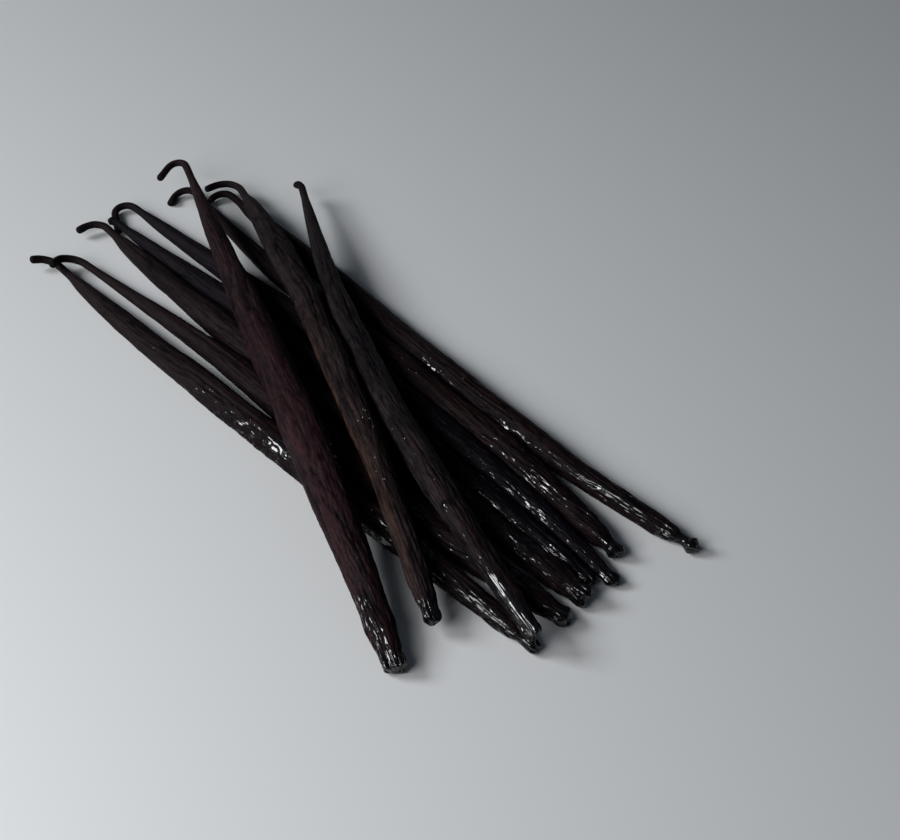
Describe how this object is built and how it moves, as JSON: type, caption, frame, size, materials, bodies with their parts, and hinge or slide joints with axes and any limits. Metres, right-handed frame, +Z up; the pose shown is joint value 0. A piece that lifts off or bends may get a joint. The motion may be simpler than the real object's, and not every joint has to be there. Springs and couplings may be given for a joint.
{
  "type": "bundle of vanilla pods",
  "caption": "Loose fan-shaped bundle of long dark cured vanilla pods with crooked stem ends, some crossing over the others.",
  "frame": {"origin": "on the table under the middle of the bundle's box", "axes": "+Z up; +Y towards the stem ends of the three pods on top, +X to the right with the stem ends at the far left"},
  "size_m": [0.163, 0.1678, 0.0146],
  "materials": {
    "black_skin": "near-black cured pod skin, oily, furrowed lengthwise",
    "brown_skin": "black-brown cured pod skin, oily, furrowed lengthwise",
    "maroon_skin": "dark red-brown cured pod skin, oily, furrowed lengthwise",
    "grey_skin": "black-brown cured pod skin with a duller grey sheen",
    "russet_skin": "dark brown cured pod skin with russet streaks",
    "crystals": "tiny white vanillin crystals on the skin"
  },
  "bodies": {
    "root": {"pod_left_edge": "maroon_skin", "pod_left_second": "maroon_skin", "pod_left_third": "brown_skin", "pod_middle": "black_skin", "pod_right_third": "black_skin", "pod_right_second": "brown_skin", "pod_right_edge": "brown_skin", "pod_over_front": "maroon_skin", "pod_over_middle": "russet_skin", "pod_over_back": "grey_skin"}
  },
  "joints": []
}
